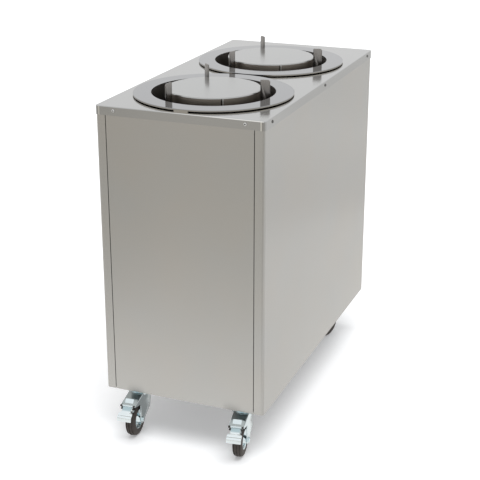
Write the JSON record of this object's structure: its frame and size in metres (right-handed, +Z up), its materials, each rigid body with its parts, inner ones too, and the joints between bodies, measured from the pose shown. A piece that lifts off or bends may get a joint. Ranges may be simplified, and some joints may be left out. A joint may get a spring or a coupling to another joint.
{
  "type": "plate dispenser cart",
  "caption": "Rectangular sheet-steel cart on swivel casters, with round spring-lifted plate platforms between upright guides in collared wells in its lid.",
  "frame": {"origin": "on the floor, below the middle of the whole cart with its brake pedals", "axes": "+X along the cart to its rear, away from the braked casters; +Y to the cart's right; +Z up, the way the platforms face"},
  "size_m": [1.0558, 0.486, 1.022],
  "materials": {
    "cabinet_steel": "brushed stainless sheet",
    "polished_steel": "bright annealed stainless, nearly mirror",
    "platform_steel": "satin stainless",
    "guide_steel": "fine brushed stainless bar",
    "frame_steel": "mill finish stainless",
    "screw_steel": "bright turned steel",
    "spring_steel": "drawn spring wire",
    "zinc_plate": "bright bluish zinc plating",
    "tyre_rubber": "dull dark brown-black rubber",
    "bush_plastic": "off-white bearing plastic"
  },
  "bodies": {
    "cabinet": {"lid": "cabinet_steel", "left_panel": "cabinet_steel", "right_panel": "cabinet_steel", "front_panel": "cabinet_steel", "rear_panel": "cabinet_steel", "base_pan": "cabinet_steel", "base_channels": "frame_steel", "cross_rail": "frame_steel", "lid_screws": "screw_steel", "caster_heads": "zinc_plate", "caster_bolts": "zinc_plate", "caster_nuts": "zinc_plate", "front_collar": "polished_steel", "front_tube": "frame_steel", "front_anchor_ring": "frame_steel", "front_base_plate": "frame_steel", "front_guide_rods": "screw_steel", "front_guide_hinges": "screw_steel", "front_springs": "spring_steel", "rear_collar": "polished_steel", "rear_tube": "frame_steel", "rear_anchor_ring": "frame_steel", "rear_base_plate": "frame_steel", "rear_guide_rods": "screw_steel", "rear_guide_hinges": "screw_steel", "rear_springs": "spring_steel"},
    "front_carriage": {"front_platform": "platform_steel", "front_posts": "frame_steel", "front_spider": "frame_steel", "front_bushes": "bush_plastic"},
    "front_plate_guide_1": {"front_guide_1": "guide_steel"},
    "front_plate_guide_2": {"front_guide_2": "guide_steel"},
    "front_plate_guide_3": {"front_guide_3": "guide_steel"},
    "rear_carriage": {"rear_platform": "platform_steel", "rear_posts": "frame_steel", "rear_spider": "frame_steel", "rear_bushes": "bush_plastic"},
    "rear_plate_guide_1": {"rear_guide_1": "guide_steel"},
    "rear_plate_guide_2": {"rear_guide_2": "guide_steel"},
    "rear_plate_guide_3": {"rear_guide_3": "guide_steel"},
    "front_left_swivel": {"front_left_fork": "zinc_plate", "front_left_axle": "zinc_plate"},
    "front_left_wheel": {"front_left_tyre": "tyre_rubber", "front_left_rim": "zinc_plate"},
    "front_left_brake": {"front_left_pedal": "zinc_plate"},
    "front_right_swivel": {"front_right_fork": "zinc_plate", "front_right_axle": "zinc_plate"},
    "front_right_wheel": {"front_right_tyre": "tyre_rubber", "front_right_rim": "zinc_plate"},
    "front_right_brake": {"front_right_pedal": "zinc_plate"},
    "rear_left_swivel": {"rear_left_fork": "zinc_plate", "rear_left_axle": "zinc_plate"},
    "rear_left_wheel": {"rear_left_tyre": "tyre_rubber", "rear_left_rim": "zinc_plate"},
    "rear_right_swivel": {"rear_right_fork": "zinc_plate", "rear_right_axle": "zinc_plate"},
    "rear_right_wheel": {"rear_right_tyre": "tyre_rubber", "rear_right_rim": "zinc_plate"}
  },
  "joints": [
    {"name": "front_lift", "type": "slide", "parent": "cabinet", "child": "front_carriage", "axis": [0, 0, 1], "range_m": [-0.52, 0], "stiffness_N_per_m": 545, "springref_m": 0.15, "deforming": ["front_springs"]},
    {"name": "front_guide_1_turn", "type": "hinge", "parent": "cabinet", "child": "front_plate_guide_1", "pos_m": [-0.07563, 0.08489, 0.93], "axis": [0, 0, 1], "range_deg": [-16, 44]},
    {"name": "front_guide_2_turn", "type": "hinge", "parent": "cabinet", "child": "front_plate_guide_2", "pos_m": [-0.35858, 0.07847, 0.93], "axis": [0, 0, 1], "range_deg": [-16, 44]},
    {"name": "front_guide_3_turn", "type": "hinge", "parent": "cabinet", "child": "front_plate_guide_3", "pos_m": [-0.21154, -0.16336, 0.93], "axis": [0, 0, 1], "range_deg": [-16, 44]},
    {"name": "rear_lift", "type": "slide", "parent": "cabinet", "child": "rear_carriage", "axis": [0, 0, 1], "range_m": [-0.52, 0], "stiffness_N_per_m": 545, "springref_m": 0.15, "deforming": ["rear_springs"]},
    {"name": "rear_guide_1_turn", "type": "hinge", "parent": "cabinet", "child": "rear_plate_guide_1", "pos_m": [0.37797, 0.08489, 0.93], "axis": [0, 0, 1], "range_deg": [-16, 44]},
    {"name": "rear_guide_2_turn", "type": "hinge", "parent": "cabinet", "child": "rear_plate_guide_2", "pos_m": [0.09502, 0.07847, 0.93], "axis": [0, 0, 1], "range_deg": [-16, 44]},
    {"name": "rear_guide_3_turn", "type": "hinge", "parent": "cabinet", "child": "rear_plate_guide_3", "pos_m": [0.24206, -0.16336, 0.93], "axis": [0, 0, 1], "range_deg": [-16, 44]},
    {"name": "front_left_swivel_turn", "type": "hinge", "parent": "cabinet", "child": "front_left_swivel", "pos_m": [-0.39905, -0.162, 0.13], "axis": [0, 0, 1], "continuous": true},
    {"name": "front_left_wheel_roll", "type": "hinge", "parent": "front_left_swivel", "child": "front_left_wheel", "pos_m": [-0.44061, -0.16806, 0.05], "axis": [-0.1444, 0.9895, 0], "continuous": true},
    {"name": "front_left_brake_press", "type": "hinge", "parent": "front_left_swivel", "child": "front_left_brake", "pos_m": [-0.47228, -0.17268, 0.112], "axis": [-0.1444, 0.9895, 0], "range_deg": [-10, 0]},
    {"name": "front_right_swivel_turn", "type": "hinge", "parent": "cabinet", "child": "front_right_swivel", "pos_m": [-0.39905, 0.162, 0.13], "axis": [0, 0, 1], "continuous": true},
    {"name": "front_right_wheel_roll", "type": "hinge", "parent": "front_right_swivel", "child": "front_right_wheel", "pos_m": [-0.44092, 0.15871, 0.05], "axis": [-0.0785, 0.9969, 0], "continuous": true},
    {"name": "front_right_brake_press", "type": "hinge", "parent": "front_right_swivel", "child": "front_right_brake", "pos_m": [-0.47282, 0.15619, 0.112], "axis": [-0.0785, 0.9969, 0], "range_deg": [-10, 0]},
    {"name": "rear_left_swivel_turn", "type": "hinge", "parent": "cabinet", "child": "rear_left_swivel", "pos_m": [0.44495, -0.162, 0.13], "axis": [0, 0, 1], "continuous": true},
    {"name": "rear_left_wheel_roll", "type": "hinge", "parent": "rear_left_swivel", "child": "rear_left_wheel", "pos_m": [0.40548, -0.14763, 0.05], "axis": [0.342, 0.9397, 0], "continuous": true},
    {"name": "rear_right_swivel_turn", "type": "hinge", "parent": "cabinet", "child": "rear_right_swivel", "pos_m": [0.44495, 0.162, 0.13], "axis": [0, 0, 1], "continuous": true},
    {"name": "rear_right_wheel_roll", "type": "hinge", "parent": "rear_right_swivel", "child": "rear_right_wheel", "pos_m": [0.40387, 0.15327, 0.05], "axis": [-0.2079, 0.9781, 0], "continuous": true}
  ]
}
